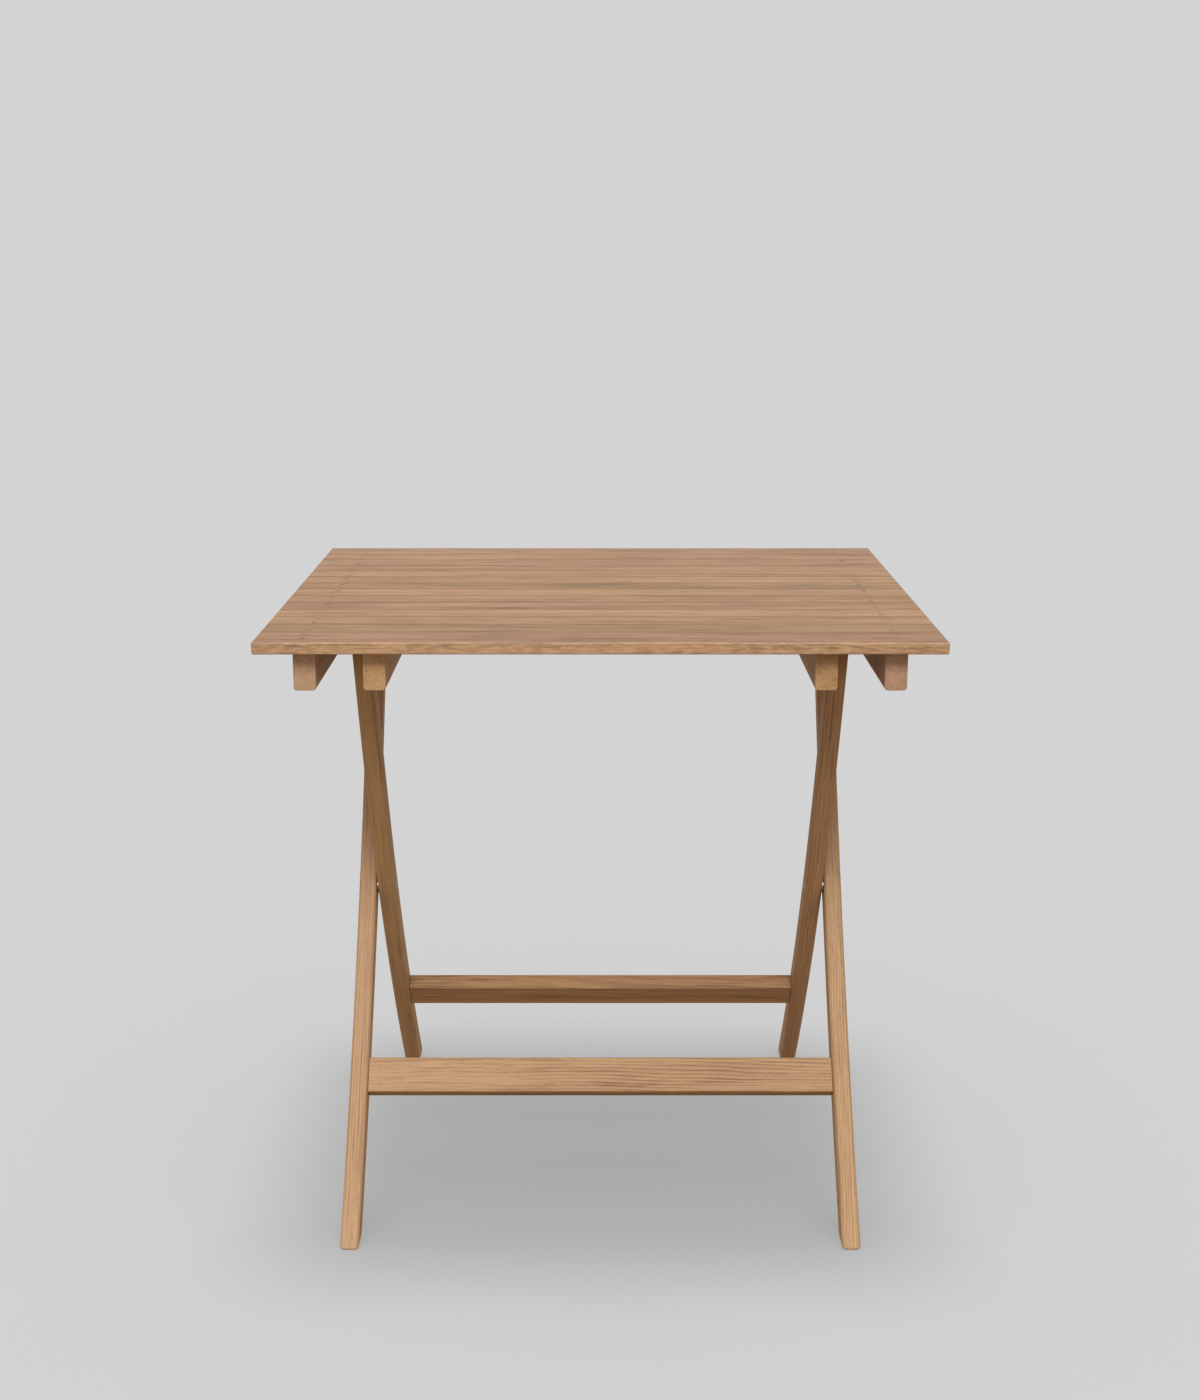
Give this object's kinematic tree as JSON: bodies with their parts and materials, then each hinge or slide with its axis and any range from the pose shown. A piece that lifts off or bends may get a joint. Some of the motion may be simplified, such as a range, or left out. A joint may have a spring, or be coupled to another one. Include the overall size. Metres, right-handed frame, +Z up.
{
  "type": "folding slatted table",
  "caption": "Small folding table with a slatted wooden top on two bowed leg frames that cross like scissors and close under the top.",
  "frame": {"origin": "on the floor, under the middle of the table top", "axes": "+X to the right along the slats, +Y from front to back, +Z up through the flat top"},
  "size_m": [0.732, 0.638, 0.72],
  "materials": {
    "slat_wood": "matte oiled",
    "batten_wood": "matte oiled",
    "leg_wood": "matte oiled",
    "stretcher_wood": "matte oiled",
    "steel": "satin"
  },
  "bodies": {
    "tabletop": {"inner_batten_left": "batten_wood", "inner_batten_right": "batten_wood", "outer_batten_left": "batten_wood", "outer_batten_right": "batten_wood", "slat_01": "slat_wood", "slat_02": "slat_wood", "slat_03": "slat_wood", "slat_04": "slat_wood", "slat_05": "slat_wood", "slat_06": "slat_wood", "slat_07": "slat_wood", "slat_08": "slat_wood", "slat_09": "slat_wood", "slat_10": "slat_wood", "slat_11": "slat_wood", "slat_12": "slat_wood", "slat_13": "slat_wood", "slat_14": "slat_wood", "top_pivot_bolt_left": "steel", "top_pivot_bolt_right": "steel", "top_pivot_nut_left": "steel", "top_pivot_nut_right": "steel", "top_pivot_washer_left": "steel", "top_pivot_washer_right": "steel"},
    "inner_frame": {"crossing_bolt_left": "steel", "crossing_bolt_right": "steel", "crossing_nut_left": "steel", "crossing_nut_right": "steel", "crossing_washer_left": "steel", "crossing_washer_right": "steel", "inner_leg_left": "leg_wood", "inner_leg_right": "leg_wood", "rear_stretcher": "stretcher_wood", "rear_stretcher_screw_left": "steel", "rear_stretcher_screw_right": "steel"},
    "outer_frame": {"front_stretcher": "stretcher_wood", "front_stretcher_screw_left": "steel", "front_stretcher_screw_right": "steel", "guide_pin_left": "steel", "guide_pin_right": "steel", "guide_washer_left": "steel", "guide_washer_right": "steel", "outer_leg_left": "leg_wood", "outer_leg_right": "leg_wood"}
  },
  "joints": [
    {"name": "top_pivot", "type": "hinge", "parent": "tabletop", "child": "inner_frame", "pos_m": [0, -0.186, 0.6855], "axis": [-1, 0, 0], "range_deg": [0, 28.6]},
    {"name": "leg_crossing", "type": "hinge", "parent": "inner_frame", "child": "outer_frame", "pos_m": [0, 0, 0.345], "axis": [1, 0, 0], "range_deg": [0, 57.2]}
  ],
  "couplings": [
    {"joint": "leg_crossing", "follows": "top_pivot", "ratio": 2}
  ]
}
